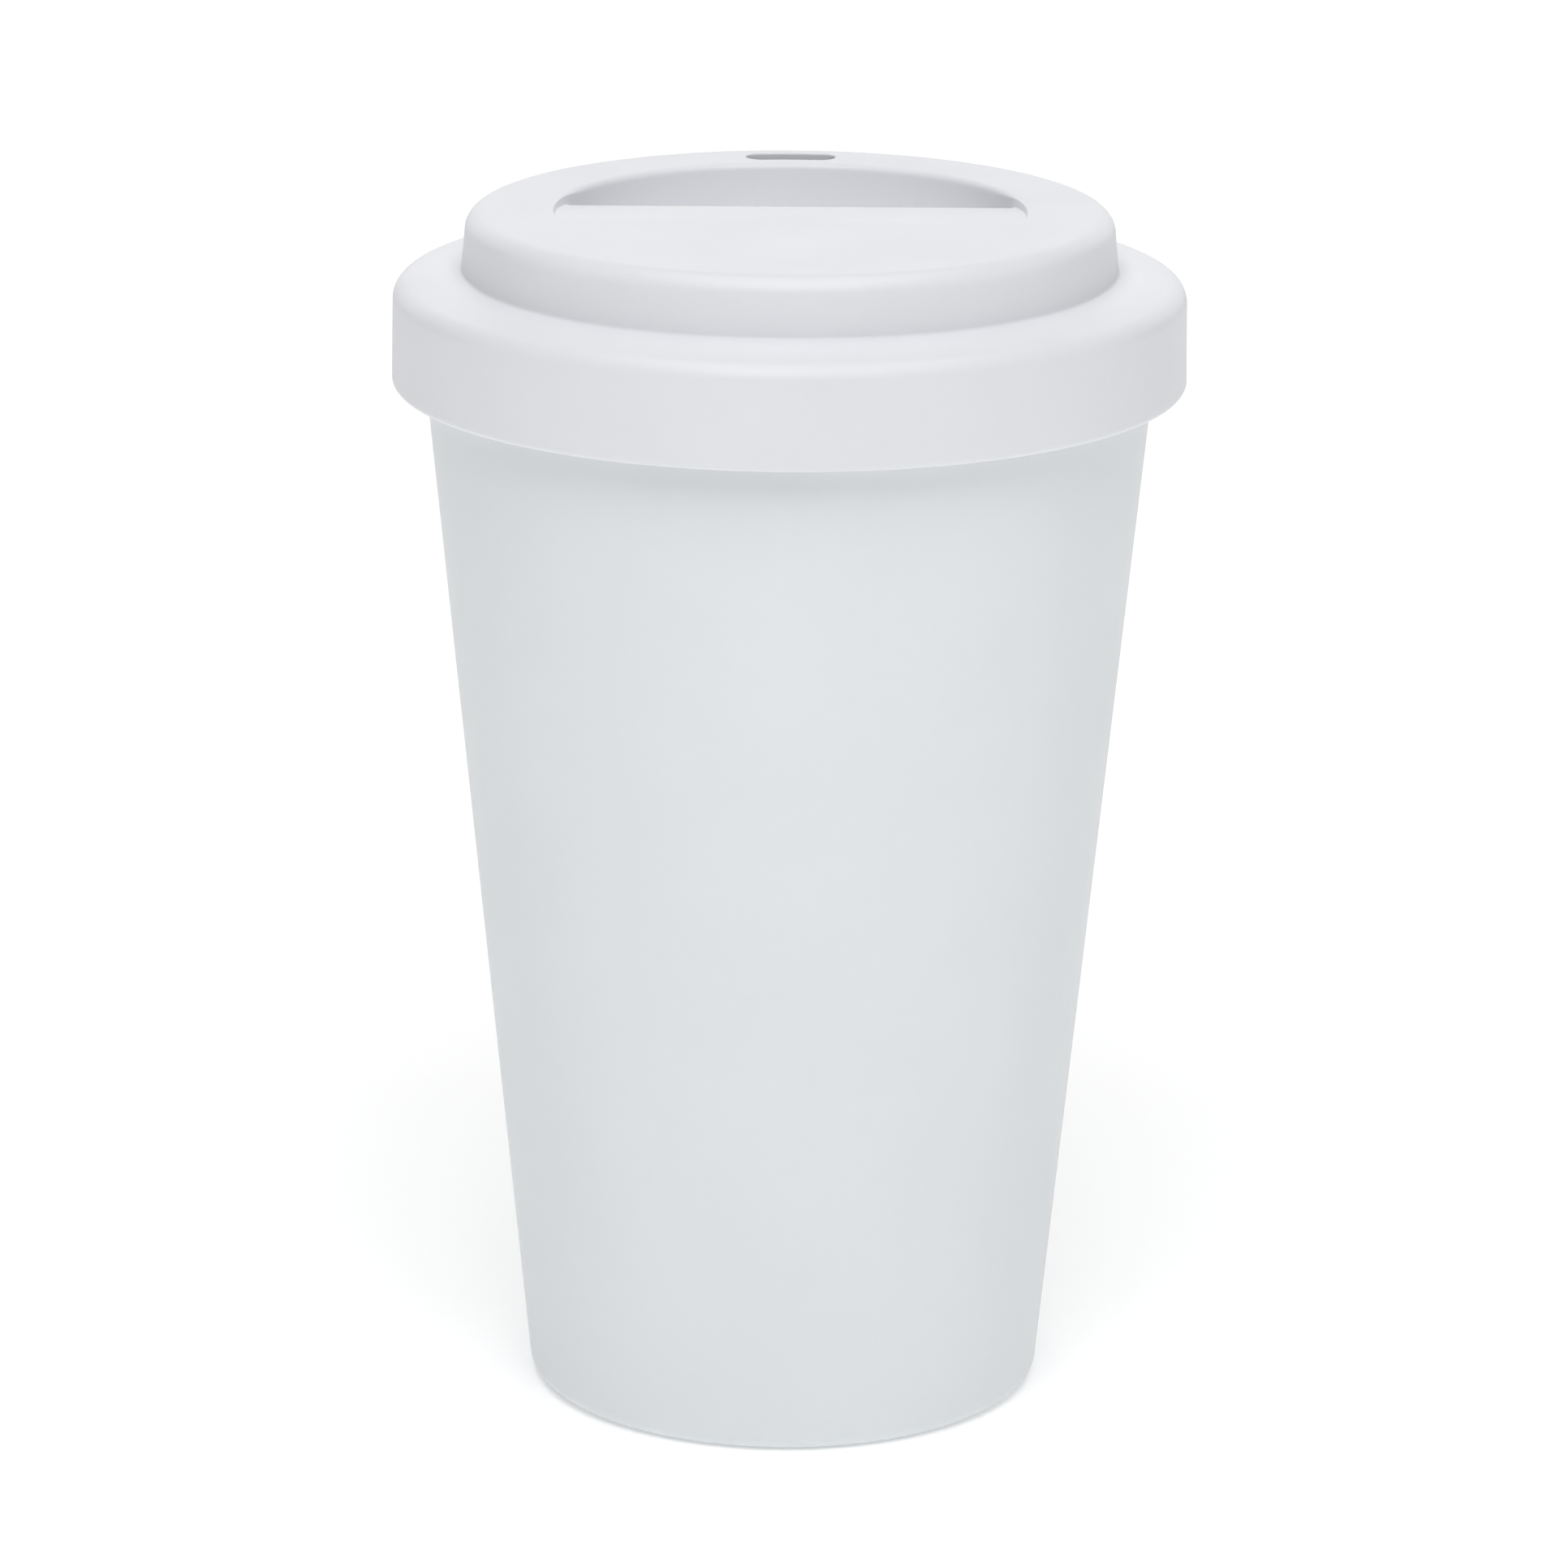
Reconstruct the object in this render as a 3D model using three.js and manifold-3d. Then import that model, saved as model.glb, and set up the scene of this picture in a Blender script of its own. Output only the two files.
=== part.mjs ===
// Insulated takeaway cup with a twist-on sip lid, in millimetres, +Z up.
// The origin is the centre of the foot, and the sip slot is on the +Y side.
// A tapered outer shell carries a liner behind an air gap, and a silicone ring under the lid seals on the liner's lip.
import * as THREE from 'three';
import { mergeVertices } from 'three/addons/utils/BufferGeometryUtils.js';
import Module from 'manifold-3d';

// Driving dimensions of the outside
const HEIGHT = 141.3; // foot to the top of the lid's dome
const FLANGE_Z = 134.5; // flange at the dome's root
const FLANGE_EDGE_Z = 133; // the flange falls to this height over the skirt
const SKIRT_Z = 121.3; // lower edge of the lid's skirt
const SKIRT_R = 46; // skirt at its lower edge
const SKIRT_TOP_R = 45.8;
const DOME_BASE_R = 37.9;
const DOME_TOP_R = 37.3;
const BODY_FOOT_R = 30.2; // outer shell, drawn down to the table
const BODY_SKIRT_R = 42.1; // outer shell at the skirt's lower edge

// Walls and the gaps between pieces
const SHELL_WALL = 1.8;
const LINER_WALL = 1.6;
const LID_WALL = 2;
const POCKET_WALL = 1.7; // round the lip recess
const AIR_GAP = 2.8;
const FIT = 0.3; // between two pieces that sit against each other

// Neck of the shell, the liner's lip and the seal
const SHOULDER_Z = 122.2; // the shell steps in here, just above the skirt's edge
const NECK_R = 41.5;
const NECK_TOP_Z = 128.7;
const NECK_BORE_R = NECK_R - SHELL_WALL;
const LIP_Z = NECK_TOP_Z + FIT;
const LIP_TOP_Z = 130.3;
const SEAL_INNER_R = 38;
const SEAL_OUTER_R = 42.6;
const CEILING_Z = 132.1; // underside of the lid's flange

// Foot and floors
const FOOT_RECESS = 1.6;
const FOOT_RING_R = 25.2; // inner edge of the ring that the cup stands on
const FOOT_FILLET = 2.3;
const GATE_R = 1.4; // moulding gate at the centre of the foot
const GATE_H = 0.5;
const SHELL_FLOOR_Z = FOOT_RECESS + SHELL_WALL;
const LINER_UNDER_Z = 6.6;
const LINER_FLOOR_Z = LINER_UNDER_Z + LINER_WALL;
const LEDGE_LOW_Z = 109.4; // the liner widens over this ledge to meet the neck
const LEDGE_TOP_Z = 115.6;

// Four-start thread between the neck and the skirt
const THREAD_STARTS = 4;
const THREAD_LEAD = 16; // rise in one turn
const RIDGE_ARC = THREE.MathUtils.degToRad(75);
const RIDGE_STEPS = 15;
const RIDGE_ROOT = 1.6; // axial width at the wall
const RIDGE_CREST = 0.8;
const RIDGE_HEIGHT = 1.7;
const RIDGE_BITE = 0.5; // how far a ridge runs into its wall, for a clean join
const RIDGE_RUN_OUT = 0.12; // share of a ridge over which each end fades into the wall
const NECK_RIDGE_Z = 124.3; // centre of a neck ridge where it starts
const RIDGE_OFFSET = 1.4; // the lid's ridges sit this far below the neck's
const SKIRT_BORE_R = 43.9;

// Lid details
const PLUG_Z = 128.3; // lower edge of the rib that enters the liner's mouth
const PLUG_WALL = 1.5;
const DOME_BORE_R = 35.6;
const RECESS_R = 27.2;
const RECESS_DRAFT = 0.3;
const RECESS_EDGE = 0.7; // chamfer round its top
const RECESS_FLOOR_Z = 134.6;
const DIP_START_Y = -3.5; // the dome's top dips gently from here
const DIP_END_Y = 7; // to here, where the ramp drops away
const DIP_DEPTH = 0.8;
const RAMP_FOOT_Y = 12;
const SLOT_R = 31.9;
const SLOT_WIDTH = 3.9;
const SLOT_LENGTH = 10.6;
const VENT_R = 0.8;
const VENT_Y = 19;

// Facets
const SIDES = 60; // round the cup
const FACET_RADIUS = 0.5; // a fillet gets one facet for each of these in its radius
const MOST_FACETS = 3; // and no more than this

const wasm = await Module();
wasm.setup();

const taper = (BODY_SKIRT_R - BODY_FOOT_R) / SKIRT_Z;
const bodyRadius = (z) => BODY_FOOT_R + taper * z;
const linerRadius = (z) => bodyRadius(z) - SHELL_WALL - AIR_GAP;

// Turns corners [x, y, fillet radius] into an outline whose fillets are arcs.
function filleted(corners) {
  const outline = [];
  corners.forEach(([x, y, radius = 0], i) => {
    const corner = new THREE.Vector2(x, y);
    if (!radius) {
      outline.push(corner);
      return;
    }
    const steps = Math.min(MOST_FACETS, Math.ceil(radius / FACET_RADIUS));
    const before = new THREE.Vector2(...corners[i - 1].slice(0, 2)).sub(corner).normalize();
    const after = new THREE.Vector2(...corners[i + 1].slice(0, 2)).sub(corner).normalize();
    const half = Math.acos(THREE.MathUtils.clamp(before.dot(after), -1, 1)) / 2;
    const inward = before.clone().add(after).normalize();
    const centre = corner.clone().addScaledVector(inward, radius / Math.sin(half));
    const from = corner.clone().addScaledVector(before, radius / Math.tan(half)).sub(centre);
    const to = corner.clone().addScaledVector(after, radius / Math.tan(half)).sub(centre);
    const sweep = Math.atan2(from.cross(to), from.dot(to));
    for (let k = 0; k <= steps; k++) {
      outline.push(from.clone().rotateAround(new THREE.Vector2(), (sweep * k) / steps).add(centre));
    }
  });
  return outline;
}

// Spins an outline of [radius, height] corners about +Z.
function turned(corners) {
  return new THREE.LatheGeometry(filleted(corners), SIDES).rotateX(Math.PI / 2);
}

function toSolid(geometry) {
  const bare = geometry.clone();
  bare.deleteAttribute('normal');
  bare.deleteAttribute('uv');
  const merged = mergeVertices(bare, 1e-4);
  return new wasm.Manifold(new wasm.Mesh({
    numProp: 3,
    vertProperties: new Float32Array(merged.attributes.position.array),
    triVerts: new Uint32Array(merged.index.array),
  }));
}

function toGeometry(solid) {
  const mesh = solid.getMesh();
  const geometry = new THREE.BufferGeometry();
  geometry.setAttribute('position', new THREE.BufferAttribute(mesh.vertProperties, mesh.numProp));
  geometry.setIndex(new THREE.BufferAttribute(mesh.triVerts, 1));
  geometry.computeVertexNormals();
  return geometry;
}

// One thread ridge: a straight bar whose section is bent round the wall and lifted along the helix.
// outward is 1 for a ridge on the outside of a wall, and -1 for one on its inside.
function threadRidge(wallRadius, outward, startAngle, startZ) {
  const section = new THREE.Shape([
    new THREE.Vector2(-RIDGE_BITE, -RIDGE_ROOT / 2),
    new THREE.Vector2(0, -RIDGE_ROOT / 2),
    new THREE.Vector2(RIDGE_HEIGHT, -RIDGE_CREST / 2),
    new THREE.Vector2(RIDGE_HEIGHT, RIDGE_CREST / 2),
    new THREE.Vector2(0, RIDGE_ROOT / 2),
    new THREE.Vector2(-RIDGE_BITE, RIDGE_ROOT / 2),
  ]);
  const bar = new THREE.ExtrudeGeometry(section, { depth: 1, steps: RIDGE_STEPS, bevelEnabled: false });
  const place = bar.attributes.position;
  for (let i = 0; i < place.count; i++) {
    const along = place.getZ(i);
    const fade = Math.min(1, 0.15 + Math.min(along, 1 - along) / RIDGE_RUN_OUT);
    const height = place.getX(i) > 0 ? place.getX(i) * fade : place.getX(i);
    const radius = wallRadius + outward * height;
    const angle = startAngle + RIDGE_ARC * along;
    const lift = (THREAD_LEAD * RIDGE_ARC * along) / (2 * Math.PI);
    // An outward ridge takes its section upside down, which keeps the bar's faces pointing out of it.
    const axial = outward > 0 ? -place.getY(i) : place.getY(i);
    place.setXYZ(i, radius * Math.cos(angle), radius * Math.sin(angle), startZ + lift + axial);
  }
  return toSolid(bar);
}

function withThread(solid, wallRadius, outward, startZ) {
  let threaded = solid;
  for (let k = 0; k < THREAD_STARTS; k++) {
    const startAngle = (2 * Math.PI * k) / THREAD_STARTS;
    threaded = threaded.add(threadRidge(wallRadius, outward, startAngle, startZ));
  }
  return threaded;
}

// Outer shell: foot ring, tapered wall and threaded neck.
function outerShell() {
  const blendZ = (NECK_R - BODY_FOOT_R) / taper; // the bore is straight above this height
  const wall = turned([
    [0, FOOT_RECESS - GATE_H],
    [GATE_R, FOOT_RECESS - GATE_H],
    [GATE_R, FOOT_RECESS],
    [FOOT_RING_R - 0.6, FOOT_RECESS, 0.8],
    [FOOT_RING_R, 0, 0.5],
    [BODY_FOOT_R, 0, FOOT_FILLET],
    [bodyRadius(SHOULDER_Z), SHOULDER_Z, 0.5],
    [NECK_R, SHOULDER_Z],
    [NECK_R, NECK_TOP_Z],
    [NECK_BORE_R, NECK_TOP_Z],
    [NECK_BORE_R, blendZ],
    [bodyRadius(SHELL_FLOOR_Z) - SHELL_WALL, SHELL_FLOOR_Z, 1.5],
    [0, SHELL_FLOOR_Z],
  ]);
  return toGeometry(withThread(toSolid(wall), NECK_R, 1, NECK_RIDGE_Z));
}

// Inner liner: the vessel that holds the drink, hung by its lip on the shell's neck.
function innerLiner() {
  const snugR = NECK_BORE_R - FIT;
  const mouthR = snugR - LINER_WALL;
  const boreRadius = (z) => linerRadius(z) - LINER_WALL;
  return turned([
    [0, LINER_UNDER_Z],
    [linerRadius(LINER_UNDER_Z), LINER_UNDER_Z, 4],
    [linerRadius(LEDGE_LOW_Z), LEDGE_LOW_Z, 4],
    [snugR, LEDGE_TOP_Z, 3],
    [snugR, LIP_Z],
    [NECK_R, LIP_Z],
    [NECK_R, LIP_TOP_Z, 0.7],
    [mouthR, LIP_TOP_Z, 0.7],
    [mouthR, LEDGE_TOP_Z, 4],
    [boreRadius(LEDGE_LOW_Z), LEDGE_LOW_Z, 3],
    [boreRadius(LINER_FLOOR_Z), LINER_FLOOR_Z, 3],
    [0, LINER_FLOOR_Z],
  ]);
}

// Silicone ring that the lid presses onto the liner's lip.
function lidSeal() {
  const low = LIP_TOP_Z + FIT;
  const high = CEILING_Z - FIT;
  return turned([
    [SEAL_INNER_R, (low + high) / 2],
    [SEAL_INNER_R, low, 0.3],
    [SEAL_OUTER_R, low, 0.3],
    [SEAL_OUTER_R, high, 0.3],
    [SEAL_INNER_R, high, 0.3],
    [SEAL_INNER_R, (low + high) / 2],
  ]);
}

// Moves a falling run of [y, z, fillet radius] corners down, square to each of its slopes.
function lowered(corners, drop) {
  const slope = (i) => Math.atan2(corners[i + 1][1] - corners[i][1], corners[i + 1][0] - corners[i][0]);
  return corners.map(([y, z, radius], i) => {
    if (!radius) {
      return [y, z - drop];
    }
    const middle = (slope(i - 1) + slope(i)) / 2;
    const reach = drop / Math.cos((slope(i) - slope(i - 1)) / 2);
    const bend = slope(i) > slope(i - 1) ? drop : -drop; // a hollow fillet widens and a round one tightens
    return [y + reach * Math.sin(middle), z - reach * Math.cos(middle), radius + bend];
  });
}

// Everything above the recess's floor, its ramp and the dip in front of it. drop moves it into the wall below.
function aboveRamp(drop) {
  const overhang = 40;
  const run = lowered([
    [-overhang, HEIGHT],
    [DIP_START_Y, HEIGHT, 8],
    [DIP_END_Y, HEIGHT - DIP_DEPTH, 2.5],
    [RAMP_FOOT_Y, RECESS_FLOOR_Z, 5],
    [overhang, RECESS_FLOOR_Z],
  ], drop);
  const side = filleted([...run, [overhang, HEIGHT + 1], [-overhang, HEIGHT + 1]]);
  return new THREE.ExtrudeGeometry(new THREE.Shape(side), { depth: 2 * overhang, bevelEnabled: false })
    .translate(0, 0, -overhang)
    .rotateX(Math.PI / 2)
    .rotateZ(Math.PI / 2);
}

// The recess itself, as the block to cut out of the dome.
function recessCutter() {
  const low = RECESS_FLOOR_Z - 1;
  const edgeZ = HEIGHT - RECESS_EDGE;
  const round = turned([
    [0, low],
    [RECESS_R - RECESS_DRAFT, low],
    [RECESS_R, edgeZ],
    [RECESS_R + RECESS_EDGE + 1, HEIGHT + 1],
    [0, HEIGHT + 1],
  ]);
  return toSolid(aboveRamp(0)).intersect(toSolid(round));
}

// The pocket that carries the recess, as the block to add under the dome.
function recessPocket() {
  const radius = RECESS_R + POCKET_WALL;
  const low = RECESS_FLOOR_Z - LID_WALL - 1;
  const top = HEIGHT - LID_WALL / 2;
  const round = turned([[0, low], [radius - RECESS_DRAFT, low], [radius, top], [0, top]]);
  return toSolid(aboveRamp(LID_WALL)).intersect(toSolid(round));
}

// Sip slot: a curved slot that follows the dome's rim, with round ends.
function slotCutter() {
  const halfAngle = (SLOT_LENGTH - SLOT_WIDTH) / 2 / SLOT_R;
  const [from, to] = [Math.PI / 2 - halfAngle, Math.PI / 2 + halfAngle];
  const end = SLOT_WIDTH / 2;
  const slot = new THREE.Shape();
  slot.absarc(0, 0, SLOT_R + end, from, to, false);
  slot.absarc(SLOT_R * Math.cos(to), SLOT_R * Math.sin(to), end, to, to + Math.PI, false);
  slot.absarc(0, 0, SLOT_R - end, to, from, true);
  slot.absarc(SLOT_R * Math.cos(from), SLOT_R * Math.sin(from), end, from + Math.PI, from + 2 * Math.PI, false);
  const cutter = new THREE.ExtrudeGeometry(slot, { depth: LID_WALL + 2, bevelEnabled: false, curveSegments: 4 });
  return toSolid(cutter.translate(0, 0, HEIGHT - LID_WALL - 1));
}

function ventCutter() {
  const pin = new THREE.CylinderGeometry(VENT_R, VENT_R, LID_WALL + 2, 10).rotateX(Math.PI / 2);
  return toSolid(pin.translate(0, VENT_Y, RECESS_FLOOR_Z - LID_WALL / 2));
}

// Lid: dome, flange and threaded skirt in one moulding, with the lip recess, the sip slot and the air vent.
function lidCap() {
  const wall = turned([
    [0, HEIGHT - LID_WALL],
    [DOME_BORE_R - 0.3, HEIGHT - LID_WALL, 0.8],
    [DOME_BORE_R, PLUG_Z, 0.4],
    [DOME_BORE_R + PLUG_WALL, PLUG_Z, 0.4],
    [DOME_BORE_R + PLUG_WALL + 0.1, CEILING_Z],
    [SKIRT_BORE_R, CEILING_Z, 0.8],
    [SKIRT_BORE_R, SKIRT_Z, 0.4],
    [SKIRT_R, SKIRT_Z, 0.8],
    [SKIRT_TOP_R, FLANGE_EDGE_Z, 2.2],
    [DOME_BASE_R, FLANGE_Z, 0.4],
    [DOME_TOP_R, HEIGHT, 2.2],
    [0, HEIGHT],
  ]);
  const cutters = [recessCutter(), slotCutter(), ventCutter()];
  const moulding = cutters.reduce((solid, cutter) => solid.subtract(cutter), toSolid(wall).add(recessPocket()));
  const lidRidgeZ = NECK_RIDGE_Z - RIDGE_OFFSET;
  return toGeometry(withThread(moulding, SKIRT_BORE_R, -1, lidRidgeZ));
}

const whitePlastic = (color) => new THREE.MeshStandardMaterial({ color, roughness: 0.42, metalness: 0 });
const silicone = () => new THREE.MeshStandardMaterial({ color: 0xdfe1e2, roughness: 0.7, metalness: 0 });

function named(name, geometry, material) {
  const mesh = new THREE.Mesh(geometry, material);
  mesh.name = name;
  return mesh;
}

const cup = new THREE.Group();
cup.add(named('outer_shell', outerShell(), whitePlastic(0xe9ebec)));
cup.add(named('inner_liner', innerLiner(), whitePlastic(0xeceded)));

const lid = new THREE.Group();
lid.add(named('lid_seal', lidSeal(), silicone()));
lid.add(named('lid_cap', lidCap(), whitePlastic(0xebecee)));

const tumbler = new THREE.Group();
tumbler.add(cup, lid);

export default tumbler;
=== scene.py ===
"""Looks of a plain white reusable coffee cup with a twist-on sip lid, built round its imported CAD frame."""
import math

import bpy
import numpy as np
from mathutils import Matrix, Vector


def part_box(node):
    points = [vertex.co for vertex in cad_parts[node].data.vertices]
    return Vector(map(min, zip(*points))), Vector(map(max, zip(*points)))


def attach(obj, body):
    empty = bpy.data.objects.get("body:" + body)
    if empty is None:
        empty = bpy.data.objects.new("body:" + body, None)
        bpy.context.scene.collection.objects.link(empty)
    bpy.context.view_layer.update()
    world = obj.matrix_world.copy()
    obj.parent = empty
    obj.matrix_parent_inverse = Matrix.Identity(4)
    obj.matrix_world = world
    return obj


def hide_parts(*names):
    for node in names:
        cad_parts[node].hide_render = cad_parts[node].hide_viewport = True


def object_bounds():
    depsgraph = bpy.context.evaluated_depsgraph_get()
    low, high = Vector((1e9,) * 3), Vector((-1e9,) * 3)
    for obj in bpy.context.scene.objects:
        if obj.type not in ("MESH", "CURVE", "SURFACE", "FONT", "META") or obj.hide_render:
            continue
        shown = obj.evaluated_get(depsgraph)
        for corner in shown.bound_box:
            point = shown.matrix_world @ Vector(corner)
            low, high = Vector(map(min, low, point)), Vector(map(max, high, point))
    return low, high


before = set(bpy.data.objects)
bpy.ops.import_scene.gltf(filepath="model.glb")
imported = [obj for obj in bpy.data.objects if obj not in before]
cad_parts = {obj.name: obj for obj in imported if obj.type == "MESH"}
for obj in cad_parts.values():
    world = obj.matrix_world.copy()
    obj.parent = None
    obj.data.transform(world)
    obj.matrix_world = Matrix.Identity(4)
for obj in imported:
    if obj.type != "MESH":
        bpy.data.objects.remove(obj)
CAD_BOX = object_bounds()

# The cup's sizes are in millimetres until a mesh is made, and MM turns them into metres.
MM = 0.001

# Outside of the cup and the lid
HEIGHT = CAD_BOX[1].z / MM
FLANGE_Z = 134.5
FLANGE_EDGE_Z = 133.0
SKIRT_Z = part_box("lid_cap")[0].z / MM
SKIRT_R = 46.0
SKIRT_TOP_R = 45.8
DOME_BASE_R = 37.9
DOME_TOP_R = 37.3
BODY_FOOT_R = 30.2
BODY_SKIRT_R = 42.1
TAPER = (BODY_SKIRT_R - BODY_FOOT_R) / SKIRT_Z

# Walls and the gaps between pieces
SHELL_WALL = 1.8
LINER_WALL = 1.6
LID_WALL = 2.0
POCKET_WALL = 1.7
AIR_GAP = 2.8
FIT = 0.3

# Neck of the shell, the liner's lip and the seal
SHOULDER_Z = 122.2
NECK_R = 41.5
NECK_TOP_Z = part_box("outer_shell")[1].z / MM
LIP_TOP_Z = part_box("inner_liner")[1].z / MM
SEAL_INNER_R = 38.0
SEAL_OUTER_R = 42.6
CEILING_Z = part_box("lid_seal")[1].z / MM + FIT

# Foot and floors
FOOT_RECESS = 1.6
FOOT_RING_R = 25.2
FOOT_FILLET = 2.3
GATE_R = 1.4
GATE_H = 0.5
LINER_UNDER_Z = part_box("inner_liner")[0].z / MM
LEDGE_LOW_Z = 109.4
LEDGE_TOP_Z = 115.6

# Four-start thread between the neck and the skirt
THREAD_STARTS = 4
THREAD_LEAD = 16.0
RIDGE_ARC = math.radians(75)
RIDGE_ROOT = 1.6
RIDGE_CREST = 0.8
RIDGE_HEIGHT = 1.7
RIDGE_RUN_OUT = 0.14  # share of a ridge's length in which it fades out at each end
NECK_RIDGE_Z = 124.3
RIDGE_OFFSET = 1.4  # from the neck's ridges down to the skirt's
SKIRT_BORE_R = 43.9

# Lid details
PLUG_Z = 128.3
PLUG_WALL = 1.5
DOME_BORE_R = 35.6
RECESS_R = 27.2
RECESS_DRAFT = 0.3
RECESS_FLOOR_Z = 134.6
DIP_START_Y = -6
DIP_END_Y = 8
DIP_DEPTH = 1.15
RAMP_FOOT_Y = 12.6
PAST_LID = 60
# The lid's top in side view: a gentle dip, then the ramp down to the recess's floor
RAMP = [
    (-PAST_LID, HEIGHT),
    (DIP_START_Y, HEIGHT, 14),
    (DIP_END_Y, HEIGHT - DIP_DEPTH, 2.5),
    (RAMP_FOOT_Y, RECESS_FLOOR_Z, 5),
    (PAST_LID, RECESS_FLOOR_Z),
]
SLOT_R = 31.9
SLOT_WIDTH = 3.9
SLOT_LENGTH = 10.6
VENT_R = 0.8
VENT_Y = 19.0

# Bands of rings that the sip slot is cut through, on the lid's top and on its underside
TOP_BAND_INNER_R = 28.6
TOP_BAND_OUTER_R = 34.8
UNDER_BAND_OUTER_R = 34.2

# Fineness of the meshes
SIDES = 288
ARC_STEP = math.radians(9)
SUPPORT = 0.22  # from the end of a bend to the ring that keeps the wall beside it flat
LONGEST_FACE = 5.0
THREAD_STEP = 0.1
RECESS_FLOOR_STEP = 0.8
RIM_STEPS = 6
AXIS_R = 0.4  # innermost ring of a piece, which is closed to a point on the axis

ANGLES = np.arange(SIDES) * (2 * math.pi / SIDES)
SIP_COLUMN = SIDES // 4

# Plastics: the lighter tone of each, how much darker its clouds are, and its roughness.
# The depths of the grain, the waves and the silicone's pores are in metres.
SHELL_TONE = (0.822, 0.852, 0.87)
LINER_TONE = (0.81, 0.82, 0.82)
LID_TONE = (0.815, 0.822, 0.852)
CLOUD_DARKER = 0.015
SATIN = 0.42
POLISHED = 0.34
SATIN_GRAIN = 0.000012
POLISHED_GRAIN = 0.000006
WAVE_DEPTH = 0.00004
SEE_THROUGH = 0.05
SCATTER = (1.0, 0.95, 0.9)
SEAL_DARK = (0.64, 0.65, 0.66)
SEAL_LIGHT = (0.72, 0.73, 0.74)
PORE_DEPTH = 0.00002

# Floor: how strongly it glows beside the cup and away from it. The glow is a painted light that lights the
# cup from below, and its weaker strength beside the cup paints shade on the floor round the foot and on the
# foot itself.
# The two distances, in metres, are where the glow starts to grow and where it stops.
FLOOR_WHITE = (0.93, 0.93, 0.93, 1)
FLOOR_REACH = 8.0
NEAR_GLOW = 0.24
FAR_GLOW = 0.38
GLOW_FROM = 0.08
GLOW_TO = 0.6

# Camera and lamps. The lens and the sensor are in millimetres, and places are in metres.
LENS = 160.9
SENSOR = 36.0
CAMERA_DISTANCE = 0.826
CAMERA_TILT = math.radians(16.27)
CAMERA_ROLL = math.radians(0.38)
CAMERA_AIM = Vector((-0.0003, 0.0, 0.07245))
LAMP_AIM = Vector((0, 0, 0.08))
WORLD_LIGHT = 0.02


def body_radius(z):
    return BODY_FOOT_R + TAPER * z


def smooth_step(t):
    t = np.clip(t, 0, 1)
    return t * t * (3 - 2 * t)


def arc_points(before, corner, after, radius):
    """The rounded corner between two straight runs, as points from one run to the other."""
    to_before = (before - corner) / np.linalg.norm(before - corner)
    to_after = (after - corner) / np.linalg.norm(after - corner)
    half = math.acos(np.clip(to_before @ to_after, -1, 1)) / 2
    bisector = to_before + to_after
    centre = corner + bisector / np.linalg.norm(bisector) * radius / math.sin(half)
    start = corner + to_before * radius / math.tan(half) - centre
    end = corner + to_after * radius / math.tan(half) - centre
    sweep = math.atan2(start[0] * end[1] - start[1] * end[0], start @ end)
    steps = max(2, math.ceil(abs(sweep) / ARC_STEP))
    points = []
    for k in range(steps + 1):
        a = sweep * k / steps
        x = start[0] * math.cos(a) - start[1] * math.sin(a)
        y = start[0] * math.sin(a) + start[1] * math.cos(a)
        points.append(centre + (x, y))
    return points


def straight_points(start, end, longest):
    """Even points inside a straight run, with one close to each end to keep the shading flat."""
    length = np.linalg.norm(end - start)
    if length < 4 * SUPPORT:
        return []
    inner = length - 2 * SUPPORT
    steps = max(1, math.ceil(inner / longest))
    shares = [(SUPPORT + inner * k / steps) / length for k in range(steps + 1)]
    return [start + (end - start) * share for share in shares]


def outline(corners, closed=False, longest=LONGEST_FACE):
    """Turns corners (x, y) or (x, y, fillet radius) into a fine outline."""
    places = [np.array(c[:2], float) for c in corners]
    bends = []
    for i, c in enumerate(corners):
        if len(c) == 3:
            bends.append(arc_points(places[i - 1], places[i], places[(i + 1) % len(corners)], c[2]))
        else:
            bends.append([places[i]])
    points = []
    for i, bend in enumerate(bends):
        points.extend(bend)
        if closed or i < len(bends) - 1:
            following = bends[(i + 1) % len(bends)]
            points.extend(straight_points(bend[-1], following[0], longest))
    return np.array(points)


class Skin:
    """A mesh put together from loops of points, where each loop is joined to the one before."""

    def __init__(self):
        self.points = []
        self.faces = []

    def loop(self, x, y, z):
        """Adds a loop of points. Any of the three may be one number that all the points share."""
        first = len(self.points)
        place = np.broadcast_arrays(x, y, z)
        self.points.extend(np.column_stack(place))
        return np.arange(first, len(self.points))

    def ring(self, radius, height):
        """A loop round the axis, whose radius and height may change with the angle."""
        return self.loop(radius * np.cos(ANGLES), radius * np.sin(ANGLES), height)

    def join(self, first, second, skip=()):
        """Quads between two loops with the same number of points. skip holds the columns left open."""
        count = len(first)
        for j in range(count):
            if j not in skip:
                k = (j + 1) % count
                self.faces.append((first[j], first[k], second[k], second[j]))

    def close(self, ring, height, upward):
        """Fills a ring in to a point on the axis."""
        self.points.append(np.array((0, 0, height)))
        centre = len(self.points) - 1
        for j in range(len(ring)):
            k = (j + 1) % len(ring)
            face = (ring[j], ring[k], centre) if upward else (ring[k], ring[j], centre)
            self.faces.append(face)

    def made(self, name, material, body, node):
        """Turns the skin into a visible piece that rides on a body and stands for a CAD node."""
        mesh = bpy.data.meshes.new(name)
        mesh.from_pydata([tuple(p * MM) for p in self.points], [], self.faces)
        mesh.validate()
        mesh.shade_smooth()
        piece = bpy.data.objects.new(name, mesh)
        bpy.context.scene.collection.objects.link(piece)
        mesh.materials.append(material)
        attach(piece, body)
        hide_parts(node)


def rings_of(skin, profile):
    return [skin.ring(r, z) for r, z in profile]


def join_all(skin, rings):
    for a, b in zip(rings, rings[1:]):
        skin.join(a, b)


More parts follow.
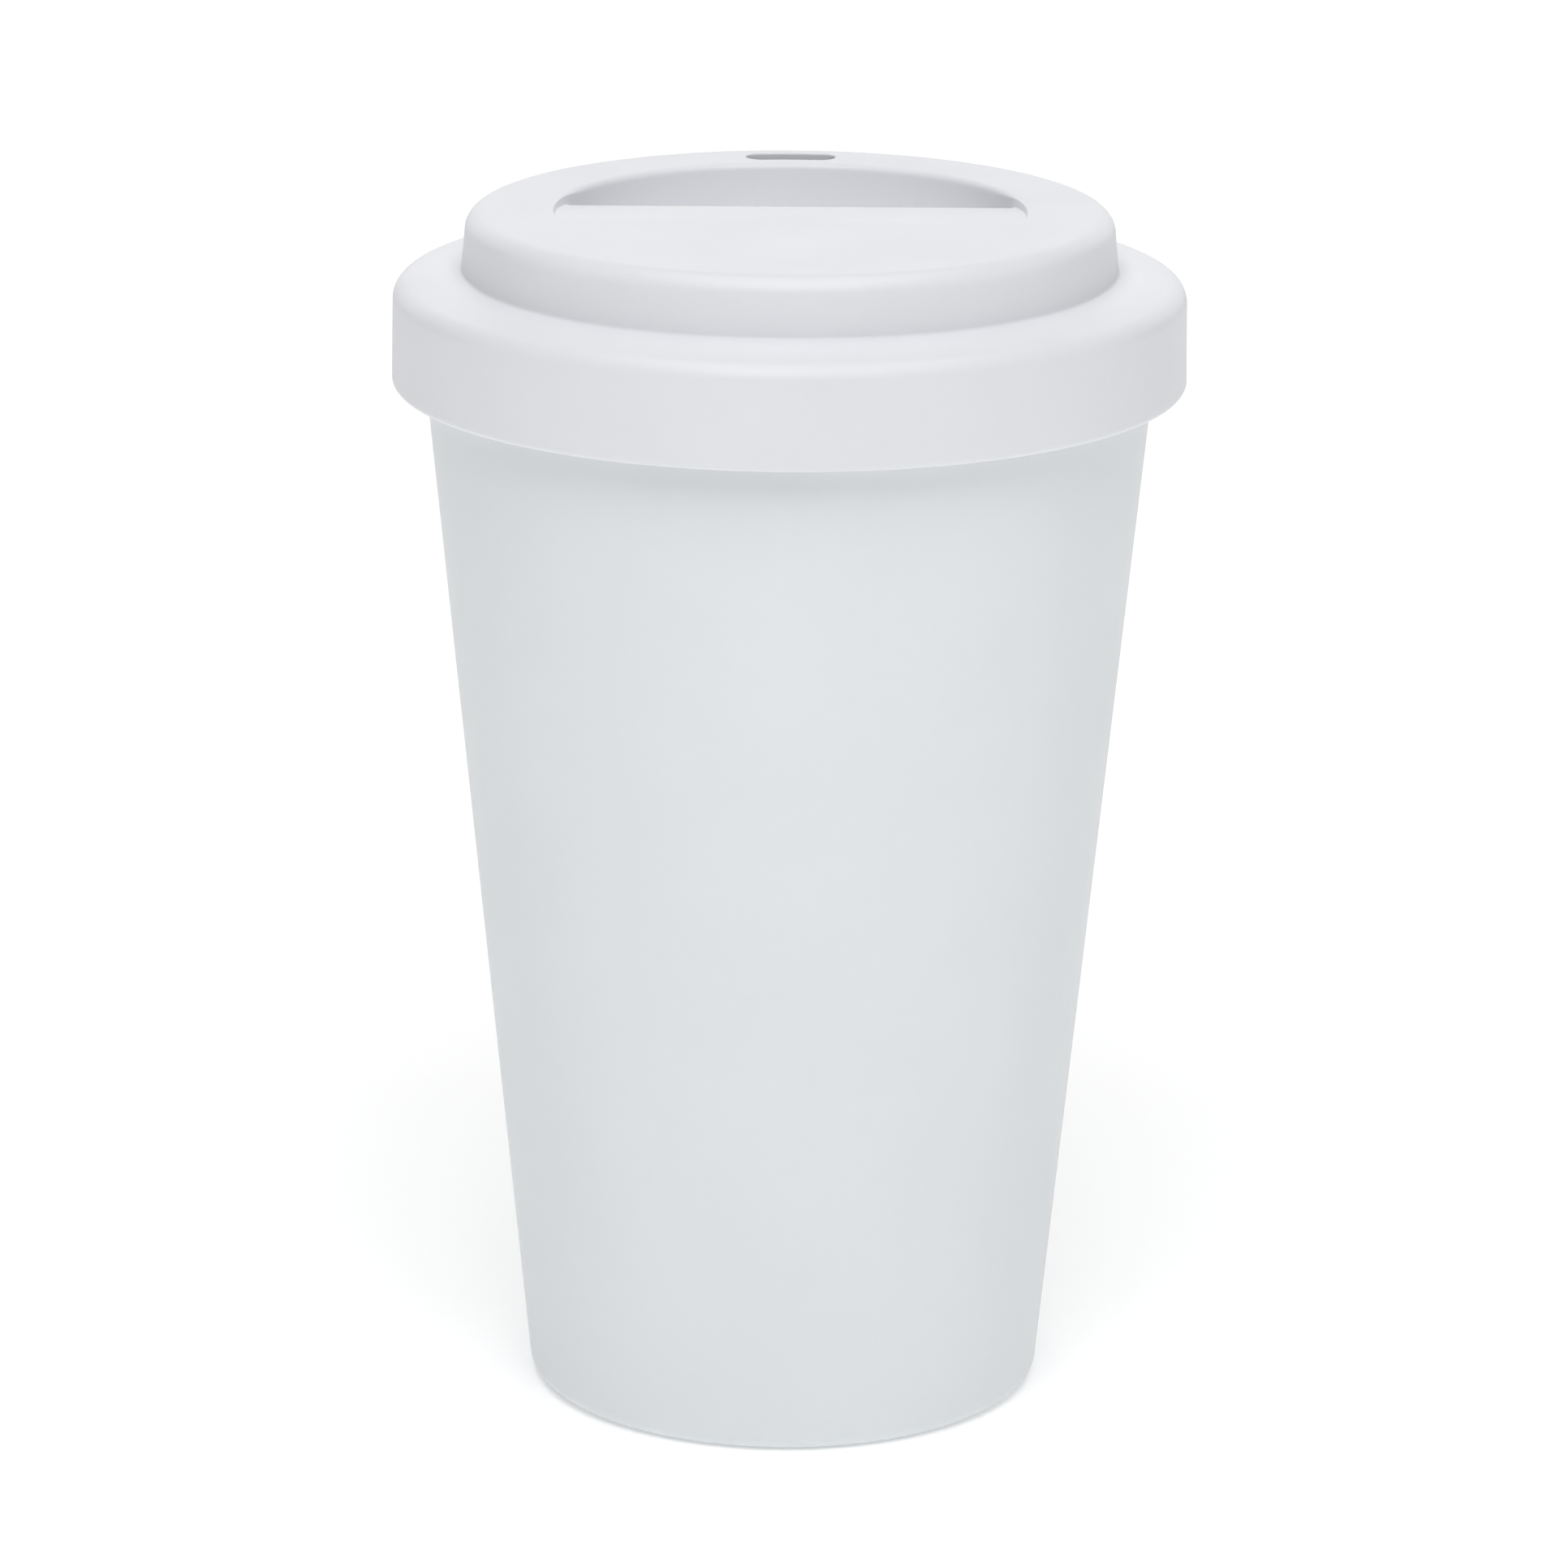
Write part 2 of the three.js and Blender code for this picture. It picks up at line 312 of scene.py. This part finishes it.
def thread_height(z, first_z):
    """How far the thread's ridges stand off their wall at a height, all round."""
    height = np.zeros(SIDES)
    for k in range(THREAD_STARTS):
        turn = np.mod(ANGLES - 2 * math.pi * k / THREAD_STARTS, 2 * math.pi)
        along = turn / RIDGE_ARC
        centre = first_z + THREAD_LEAD * turn / (2 * math.pi)
        flank = (RIDGE_ROOT / 2 - np.abs(z - centre)) / ((RIDGE_ROOT - RIDGE_CREST) / 2)
        ends = np.minimum(along, 1 - along) / RIDGE_RUN_OUT
        height = np.maximum(height, RIDGE_HEIGHT * smooth_step(flank) * smooth_step(ends))
    return height


def threaded_rings(skin, radius, outward, low, high, first_z):
    """Rings up a straight wall with the thread on it. outward is 1 on an outside and -1 on an inside."""
    steps = round((high - low) / THREAD_STEP)
    heights = [low + (high - low) * k / steps for k in range(steps + 1)]
    return [skin.ring(radius + outward * thread_height(z, first_z), z) for z in heights]


def outer_shell(material):
    """Foot ring, tapered wall, threaded neck and the bore that the liner hangs in."""
    skin = Skin()
    blend_z = (NECK_R - BODY_FOOT_R) / TAPER
    floor_z = FOOT_RECESS + SHELL_WALL
    gate_z = FOOT_RECESS - GATE_H
    bore_r = NECK_R - SHELL_WALL
    thread_low = SHOULDER_Z + 0.5
    thread_high = NECK_TOP_Z - 0.4
    outside = outline([
        (AXIS_R, gate_z),
        (GATE_R, gate_z, 0.15),
        (GATE_R + 0.2, FOOT_RECESS, 0.25),
        (FOOT_RING_R - 0.6, FOOT_RECESS, 0.8),
        (FOOT_RING_R, 0, 0.5),
        (BODY_FOOT_R, 0, FOOT_FILLET),
        (body_radius(SHOULDER_Z), SHOULDER_Z, 0.5),
        (NECK_R, SHOULDER_Z, 0.2),
        (NECK_R, thread_low),
    ])
    inside = outline([
        (NECK_R, thread_high),
        (NECK_R, NECK_TOP_Z, 0.25),
        (bore_r, NECK_TOP_Z, 0.25),
        (bore_r, blend_z),
        (body_radius(floor_z) - SHELL_WALL, floor_z, 1.5),
        (AXIS_R, floor_z),
    ])
    neck = threaded_rings(skin, NECK_R, 1, thread_low, thread_high, NECK_RIDGE_Z)
    rings = rings_of(skin, outside[:-1]) + neck + rings_of(skin, inside[1:])
    join_all(skin, rings)
    skin.close(rings[0], gate_z, upward=False)
    skin.close(rings[-1], floor_z, upward=True)
    skin.made("cup_outer_shell", material, "cup", "outer_shell")


def inner_liner(material):
    """The vessel for the drink, which widens over a ledge to its rounded lip."""
    skin = Skin()
    snug_r = NECK_R - SHELL_WALL - FIT
    mouth_r = snug_r - LINER_WALL
    lip_z = NECK_TOP_Z + FIT
    floor_z = LINER_UNDER_Z + LINER_WALL

    def outer_r(z):
        return body_radius(z) - SHELL_WALL - AIR_GAP

    def bore_r(z):
        return outer_r(z) - LINER_WALL

    profile = outline([
        (AXIS_R, LINER_UNDER_Z),
        (outer_r(LINER_UNDER_Z), LINER_UNDER_Z, 4),
        (outer_r(LEDGE_LOW_Z), LEDGE_LOW_Z, 4),
        (snug_r, LEDGE_TOP_Z, 3),
        (snug_r, lip_z, 0.1),
        (NECK_R, lip_z, 0.15),
        (NECK_R, LIP_TOP_Z, 0.7),
        (mouth_r, LIP_TOP_Z, 0.7),
        (mouth_r, LEDGE_TOP_Z, 4),
        (bore_r(LEDGE_LOW_Z), LEDGE_LOW_Z, 3),
        (bore_r(floor_z), floor_z, 3),
        (AXIS_R, floor_z),
    ])
    rings = rings_of(skin, profile)
    join_all(skin, rings)
    skin.close(rings[0], LINER_UNDER_Z, upward=False)
    skin.close(rings[-1], floor_z, upward=True)
    skin.made("cup_inner_liner", material, "cup", "inner_liner")


def lid_seal(material):
    """Silicone ring with rounded edges and a shallow groove in each face."""
    skin = Skin()
    low = LIP_TOP_Z + FIT
    high = CEILING_Z - FIT
    groove_r = (SEAL_INNER_R + SEAL_OUTER_R) / 2
    groove_half = 0.55
    groove_depth = 0.18
    profile = outline([
        (SEAL_INNER_R, low, 0.3),
        (groove_r - groove_half, low, 0.12),
        (groove_r - groove_half / 2, low + groove_depth, 0.12),
        (groove_r + groove_half / 2, low + groove_depth, 0.12),
        (groove_r + groove_half, low, 0.12),
        (SEAL_OUTER_R, low, 0.3),
        (SEAL_OUTER_R, high, 0.3),
        (groove_r + groove_half, high, 0.12),
        (groove_r + groove_half / 2, high - groove_depth, 0.12),
        (groove_r - groove_half / 2, high - groove_depth, 0.12),
        (groove_r - groove_half, high, 0.12),
        (SEAL_INNER_R, high, 0.3),
    ], closed=True)
    rings = rings_of(skin, profile)
    join_all(skin, rings + rings[:1])
    skin.made("lid_seal_ring", material, "seal", "lid_seal")


def lowered(corners, drop):
    """Corners moved down, square to each slope. Round fillets tighten and hollow ones widen."""
    places = np.array([c[:2] for c in corners], float)
    runs = np.diff(places, axis=0)
    slopes = np.arctan2(runs[:, 1], runs[:, 0])
    moved = [(places[0][0], places[0][1] - drop)]
    for i, (x, y, fillet) in enumerate(corners[1:-1]):
        middle = (slopes[i] + slopes[i + 1]) / 2
        reach = drop / math.cos((slopes[i + 1] - slopes[i]) / 2)
        change = drop if slopes[i + 1] > slopes[i] else -drop
        moved.append((x + reach * math.sin(middle), y - reach * math.cos(middle), fillet + change))
    return moved + [(places[-1][0], places[-1][1] - drop)]


def ramp_heights(y, drop):
    """Height of the lid's top, or of its underside drop below it, on a line down the recess."""
    side = outline(lowered(RAMP, drop))
    return np.interp(y, side[:, 0], side[:, 1])


def dished_ring(skin, radius, rise, drop):
    """A ring over the recess. rise is 0 on the recess's floor and 1 level with the lid's top."""
    floor = ramp_heights(radius * np.sin(ANGLES), drop)
    return skin.ring(radius, floor + rise * (HEIGHT - drop - floor))


def recess_rings(skin, wall_r, drop, floor_radii, foot_fillet, rim_fillet):
    """Rings over the recess from the axis outwards: its floor, its wall and its rim."""
    depth = HEIGHT - RECESS_FLOOR_Z
    wall = outline([
        (floor_radii[-1], 0),
        (wall_r - RECESS_DRAFT / 2, 0, foot_fillet),
        (wall_r + RECESS_DRAFT / 2, depth, rim_fillet),
        (wall_r + RECESS_DRAFT / 2 + rim_fillet + 0.15, depth),
    ], longest=1.0)
    floor = [dished_ring(skin, r, 0, drop) for r in floor_radii[:-1]]
    return floor + [dished_ring(skin, r, z / depth, drop) for r, z in wall]


class Opening:
    """A small hole with rounded ends and soft rims, cut through two facing patches of rings."""

    def __init__(self, radius, half_length, end_radius, half_columns, rows):
        self.radius = radius
        self.half_length = half_length
        self.end_radius = end_radius
        self.half_columns = half_columns
        self.rows = rows
        self.columns = [SIP_COLUMN + j for j in range(-half_columns, half_columns)]

    def patch_loop(self, rings):
        """The points round a patch of rings, in the order in which edge() goes round the hole."""
        half_rows = self.rows // 2
        right = SIP_COLUMN + self.half_columns
        left = SIP_COLUMN - self.half_columns
        cells = [(half_rows + i, right) for i in range(half_rows)]
        cells += [(self.rows, right - j) for j in range(2 * self.half_columns)]
        cells += [(self.rows - i, left) for i in range(self.rows)]
        cells += [(0, left + j) for j in range(2 * self.half_columns)]
        cells += [(i, right) for i in range(half_rows)]
        return np.array([rings[i][j] for i, j in cells])

    def edge(self, grow):
        """The hole's outline, grown by a distance, with one point for each point round the patch."""
        quarter_points = self.half_columns + self.rows // 2
        arc = self.end_radius * math.pi / 2
        quarter = arc + self.half_length
        corner = []
        for k in range(quarter_points):
            s = quarter * k / quarter_points
            a = min(s, arc) / self.end_radius
            beyond = max(0.0, s - arc)
            reach = self.end_radius + grow
            corner.append((self.half_length - beyond + reach * math.cos(a), reach * math.sin(a)))
        corner = np.array(corner)
        mirrored = np.vstack([(0, self.end_radius + grow), corner[:0:-1]]) * (-1, 1)
        upper = np.vstack([corner, mirrored])
        return np.vstack([upper, -upper])

    def loop(self, skin, grow, height):
        """Adds the grown outline at a height, bent round the cup's axis."""
        u, v = self.edge(grow).T
        angle = math.pi / 2 + u / self.radius
        return skin.loop((self.radius + v) * np.cos(angle), (self.radius + v) * np.sin(angle), height)

    def cut(self, skin, top_rings, under_rings, top, under, top_fillet, under_fillet):
        """Joins the patch above to the one below through the hole. Rings run outwards."""
        loops = [self.patch_loop(top_rings)]
        flat_margin = self.end_radius * 0.2
        loops.append(self.loop(skin, top_fillet + flat_margin, top))
        quarter = [math.pi / 2 * k / RIM_STEPS for k in range(RIM_STEPS + 1)]
        for a in quarter:
            grow = top_fillet * (1 - math.sin(a))
            loops.append(self.loop(skin, grow, top - top_fillet * (1 - math.cos(a))))
        for a in reversed(quarter):
            grow = under_fillet * (1 - math.sin(a))
            loops.append(self.loop(skin, grow, under + under_fillet * (1 - math.cos(a))))
        loops.append(self.patch_loop(under_rings))
        for a, b in zip(loops, loops[1:]):
            skin.join(b, a)


def lid_cap(material):
    """Dome, flange and threaded skirt in one moulding, with the lip recess, the slot and the vent."""
    skin = Skin()
    under_z = HEIGHT - LID_WALL
    pocket_r = RECESS_R + POCKET_WALL
    thread_low = SKIRT_Z + 0.7
    thread_high = CEILING_Z - 1.2
    slot = Opening(SLOT_R, (SLOT_LENGTH - SLOT_WIDTH) / 2, SLOT_WIDTH / 2, half_columns=11, rows=10)
    vent = Opening(VENT_Y, 0.0, VENT_R, half_columns=4, rows=4)
    floor_edge_r = RECESS_R - 1.8
    floor_radii = list(np.arange(VENT_Y % RECESS_FLOOR_STEP, floor_edge_r, RECESS_FLOOR_STEP))

    under = recess_rings(skin, pocket_r, LID_WALL, floor_radii, foot_fillet=1.2, rim_fillet=0.2)
    under_radii = np.linspace(pocket_r + 0.6, UNDER_BAND_OUTER_R, slot.rows + 1)
    under_band = [skin.ring(r, under_z) for r in under_radii]
    walls = outline([
        (UNDER_BAND_OUTER_R, under_z),
        (DOME_BORE_R - 0.3, under_z, 0.8),
        (DOME_BORE_R, PLUG_Z, 0.4),
        (DOME_BORE_R + PLUG_WALL, PLUG_Z, 0.4),
        (DOME_BORE_R + PLUG_WALL + 0.1, CEILING_Z, 0.2),
        (SKIRT_BORE_R, CEILING_Z, 0.8),
        (SKIRT_BORE_R, thread_high),
    ])
    outside = outline([
        (SKIRT_BORE_R, thread_low),
        (SKIRT_BORE_R, SKIRT_Z, 0.4),
        (SKIRT_R, SKIRT_Z, 0.8),
        (SKIRT_TOP_R, FLANGE_EDGE_Z, 2.2),
        (DOME_BASE_R, FLANGE_Z, 0.4),
        (DOME_TOP_R, HEIGHT, 2.2),
        (TOP_BAND_OUTER_R + 0.1, HEIGHT),
    ])
    ridge_z = NECK_RIDGE_Z - RIDGE_OFFSET
    thread = threaded_rings(skin, SKIRT_BORE_R, -1, thread_low, thread_high, ridge_z)
    body = rings_of(skin, walls[1:-1]) + thread[::-1] + rings_of(skin, outside[1:-1])
    top_radii = np.linspace(TOP_BAND_INNER_R, TOP_BAND_OUTER_R, slot.rows + 1)
    top_band = [skin.ring(r, HEIGHT) for r in top_radii]
    top = recess_rings(skin, RECESS_R, 0.0, floor_radii, foot_fillet=0.9, rim_fillet=0.8)

    rings = under + under_band + body + top_band[::-1] + top[::-1]
    vent_row = int(np.argmin(np.abs(np.array(floor_radii) - VENT_Y))) - vent.rows // 2
    vent_rows = slice(vent_row, vent_row + vent.rows)
    open_columns = {id(ring): slot.columns for ring in under_band[:-1] + top_band[:-1]}
    open_columns.update({id(ring): vent.columns for ring in under[vent_rows] + top[vent_rows]})
    for a, b in zip(rings, rings[1:]):
        inner = min(a, b, key=lambda ring: math.hypot(*skin.points[ring[0]][:2]))
        skin.join(a, b, skip=open_columns.get(id(inner), ()))
    skin.close(rings[0], float(ramp_heights(0, LID_WALL)), upward=False)
    skin.close(rings[-1], float(ramp_heights(0, 0.0)), upward=True)
    slot.cut(skin, top_band, under_band, HEIGHT, under_z, top_fillet=0.25, under_fillet=0.15)
    vent_edges = slice(vent_row, vent_row + vent.rows + 1)
    vent.cut(
        skin, top[vent_edges], under[vent_edges], RECESS_FLOOR_Z, RECESS_FLOOR_Z - LID_WALL,
        top_fillet=0.15, under_fillet=0.1,
    )
    skin.made("lid_cap_moulding", material, "lid", "lid_cap")


# Materials

def new_material(name):
    material = bpy.data.materials.new(name)
    material.use_nodes = True
    return material, material.node_tree


def noise(tree, coordinates, scale, detail, stretch=(1, 1, 1), offset=(0, 0, 0)):
    """A noise pattern from 0 to 1, whose features are about 1 / scale metres across."""
    place = tree.nodes.new("ShaderNodeMapping")
    place.inputs["Scale"].default_value = stretch
    place.inputs["Location"].default_value = offset
    tree.links.new(coordinates, place.inputs["Vector"])
    pattern = tree.nodes.new("ShaderNodeTexNoise")
    pattern.inputs["Scale"].default_value = scale
    pattern.inputs["Detail"].default_value = detail
    tree.links.new(place.outputs["Vector"], pattern.inputs["Vector"])
    return pattern.outputs["Fac"]


def remapped(tree, value, span, result):
    """Eases a value from one span, given as its low and high ends, to another."""
    node = tree.nodes.new("ShaderNodeMapRange")
    node.interpolation_type = "SMOOTHSTEP"
    node.inputs["From Min"].default_value = span[0]
    node.inputs["From Max"].default_value = span[1]
    node.inputs["To Min"].default_value = result[0]
    node.inputs["To Max"].default_value = result[1]
    tree.links.new(value, node.inputs["Value"])
    return node.outputs["Result"]


def summed(tree, first, second):
    node = tree.nodes.new("ShaderNodeMath")
    node.operation = "ADD"
    tree.links.new(first, node.inputs[0])
    tree.links.new(second, node.inputs[1])
    return node.outputs["Value"]


def bumped(tree, height, distance, below=None):
    """A bump whose full range of height is distance metres deep."""
    node = tree.nodes.new("ShaderNodeBump")
    node.inputs["Strength"].default_value = 1.0
    node.inputs["Distance"].default_value = distance
    tree.links.new(height, node.inputs["Height"])
    if below:
        tree.links.new(below, node.inputs["Normal"])
    return node.outputs["Normal"]


def clouded_colour(tree, shader, coordinates, dark, light, scale, detail):
    """Two tones of one colour, mixed in soft clouds."""
    cloud = noise(tree, coordinates, scale, detail)
    mix = tree.nodes.new("ShaderNodeMix")
    mix.data_type = "RGBA"
    mix.inputs["A"].default_value = (*dark, 1)
    mix.inputs["B"].default_value = (*light, 1)
    tree.links.new(remapped(tree, cloud, (0.3, 0.7), (0, 1)), mix.inputs["Factor"])
    tree.links.new(mix.outputs["Result"], shader.inputs["Base Color"])


def see_into(shader, refraction, weight, depth):
    """Lets light in under the surface to a depth in metres."""
    shader.inputs["IOR"].default_value = refraction
    shader.inputs["Subsurface Weight"].default_value = weight
    shader.inputs["Subsurface Radius"].default_value = SCATTER
    shader.inputs["Subsurface Scale"].default_value = depth


def moulded_plastic(name, tone, roughness, grain):
    """Moulded plastic: a fine spark-eroded grain, slow waves from cooling, and faint handling marks."""
    material, tree = new_material(name)
    shader = tree.nodes["Principled BSDF"]
    coordinates = tree.nodes.new("ShaderNodeTexCoord").outputs["Object"]

    darker = [part - CLOUD_DARKER for part in tone]
    clouded_colour(tree, shader, coordinates, darker, tone, scale=45, detail=3)

    handled = noise(tree, coordinates, scale=70, detail=4, offset=(3, 1, 2))
    patches = remapped(tree, handled, (0.35, 0.7), (0, 0.05))
    rubs = noise(tree, coordinates, scale=420, detail=5, stretch=(1, 1, 0.12), offset=(0, 5, 1))
    marks = remapped(tree, rubs, (0.62, 0.72), (0, 0.07))
    speckle = noise(tree, coordinates, scale=2600, detail=2)
    base = remapped(tree, speckle, (0.3, 0.7), (roughness - 0.03, roughness + 0.03))
    tree.links.new(summed(tree, base, summed(tree, patches, marks)), shader.inputs["Roughness"])

    waves = bumped(tree, noise(tree, coordinates, scale=55, detail=1, offset=(7, 7, 7)), WAVE_DEPTH)
    skin = bumped(tree, noise(tree, coordinates, scale=3800, detail=2), grain, below=waves)
    tree.links.new(skin, shader.inputs["Normal"])

    see_into(shader, refraction=1.49, weight=SEE_THROUGH, depth=0.0015)
    return material


def silicone(name):
    """Soft translucent white silicone with a dull, slightly dusty skin."""
    material, tree = new_material(name)
    shader = tree.nodes["Principled BSDF"]
    coordinates = tree.nodes.new("ShaderNodeTexCoord").outputs["Object"]
    clouded_colour(tree, shader, coordinates, SEAL_DARK, SEAL_LIGHT, scale=160, detail=4)
    dust = noise(tree, coordinates, scale=900, detail=4)
    tree.links.new(remapped(tree, dust, (0.35, 0.7), (0.48, 0.66)), shader.inputs["Roughness"])
    pores = noise(tree, coordinates, scale=2400, detail=3)
    tree.links.new(bumped(tree, pores, PORE_DEPTH), shader.inputs["Normal"])
    see_into(shader, refraction=1.41, weight=0.4, depth=0.002)
    return material


def floor_material():
    """White and matt, and glowing like a lamp. The glow is weaker round the cup, which paints shade on the
    floor round the foot and keeps the foot darker.
    """
    material, tree = new_material("studio_floor")
    shader = tree.nodes["Principled BSDF"]
    shader.inputs["Base Color"].default_value = FLOOR_WHITE
    shader.inputs["Roughness"].default_value = 0.9
    shader.inputs["Specular IOR Level"].default_value = 0.1
    shader.inputs["Emission Color"].default_value = (1, 1, 1, 1)
    coordinates = tree.nodes.new("ShaderNodeTexCoord").outputs["Object"]
    distance = tree.nodes.new("ShaderNodeVectorMath")
    distance.operation = "LENGTH"
    tree.links.new(coordinates, distance.inputs["Vector"])
    # Painted shade: the glow is dimmed near the cup, so the floor round the foot reads darker and the foot
    # gets less light from below.
    glow = remapped(tree, distance.outputs["Value"], (GLOW_FROM, GLOW_TO), (NEAR_GLOW, FAR_GLOW))
    tree.links.new(glow, shader.inputs["Emission Strength"])
    return material


# Studio

def studio_floor():
    mesh = bpy.data.meshes.new("studio_floor")
    reach = FLOOR_REACH
    corners = [(-reach, -reach, 0), (reach, -reach, 0), (reach, reach, 0), (-reach, reach, 0)]
    mesh.from_pydata(corners, [], [(0, 1, 2, 3)])
    mesh.materials.append(floor_material())
    floor = bpy.data.objects.new("studio_floor", mesh)
    bpy.context.scene.collection.objects.link(floor)


def softbox(name, place, width, height, power):
    """A rectangular lamp, in metres and watts, that faces the middle of the cup."""
    lamp = bpy.data.lights.new(name, "AREA")
    lamp.shape = "RECTANGLE"
    lamp.size = width
    lamp.size_y = height
    lamp.energy = power
    light = bpy.data.objects.new(name, lamp)
    light.location = place
    light.rotation_euler = (LAMP_AIM - Vector(place)).to_track_quat("-Z", "Y").to_euler()
    bpy.context.scene.collection.objects.link(light)


def studio_light():
    world = bpy.data.worlds.new("studio")
    world.use_nodes = True
    backdrop = world.node_tree.nodes["Background"]
    backdrop.inputs["Color"].default_value = (1, 1, 1, 1)
    backdrop.inputs["Strength"].default_value = WORLD_LIGHT
    bpy.context.scene.world = world
    softbox("top_softbox", place=(0, 0, 1.6), width=1.4, height=1.4, power=11.5)
    softbox("back_softbox", place=(0, 1.0, 1.4), width=1.4, height=1.0, power=2.0)
    softbox("back_wall", place=(0, 2.2, 0.7), width=4.0, height=1.3, power=19.5)
    softbox("front_softbox", place=(0, -1.1, 1.5), width=1.4, height=1.0, power=15.5)
    softbox("low_fill", place=(0, -1.3, 0.2), width=1.6, height=0.4, power=0.9)
    softbox("left_softbox", place=(-1.4, -0.2, 0.7), width=1.2, height=1.2, power=1.8)
    softbox("right_softbox", place=(1.4, -0.2, 0.7), width=1.2, height=1.2, power=2.4)
    bpy.context.scene.view_settings.view_transform = "Standard"


def camera():
    """Long lens, about 16 degrees above the horizon, facing the side away from the sip slot."""
    lens = bpy.data.cameras.new("camera")
    lens.sensor_width = SENSOR
    lens.lens = LENS
    eye = bpy.data.objects.new("camera", lens)
    backward = Vector((0, -math.cos(CAMERA_TILT), math.sin(CAMERA_TILT)))
    eye.location = CAMERA_AIM + CAMERA_DISTANCE * backward
    facing = (CAMERA_AIM - eye.location).to_track_quat("-Z", "Y").to_matrix()
    eye.rotation_euler = (facing @ Matrix.Rotation(CAMERA_ROLL, 3, "Z")).to_euler()
    bpy.context.scene.collection.objects.link(eye)
    bpy.context.scene.camera = eye


camera()
studio_floor()
studio_light()

outer_shell(moulded_plastic("shell_plastic_white", SHELL_TONE, SATIN, SATIN_GRAIN))
inner_liner(moulded_plastic("liner_plastic_white", LINER_TONE, POLISHED, POLISHED_GRAIN))
lid_cap(moulded_plastic("lid_plastic_white", LID_TONE, SATIN, SATIN_GRAIN))
lid_seal(silicone("seal_silicone_white"))
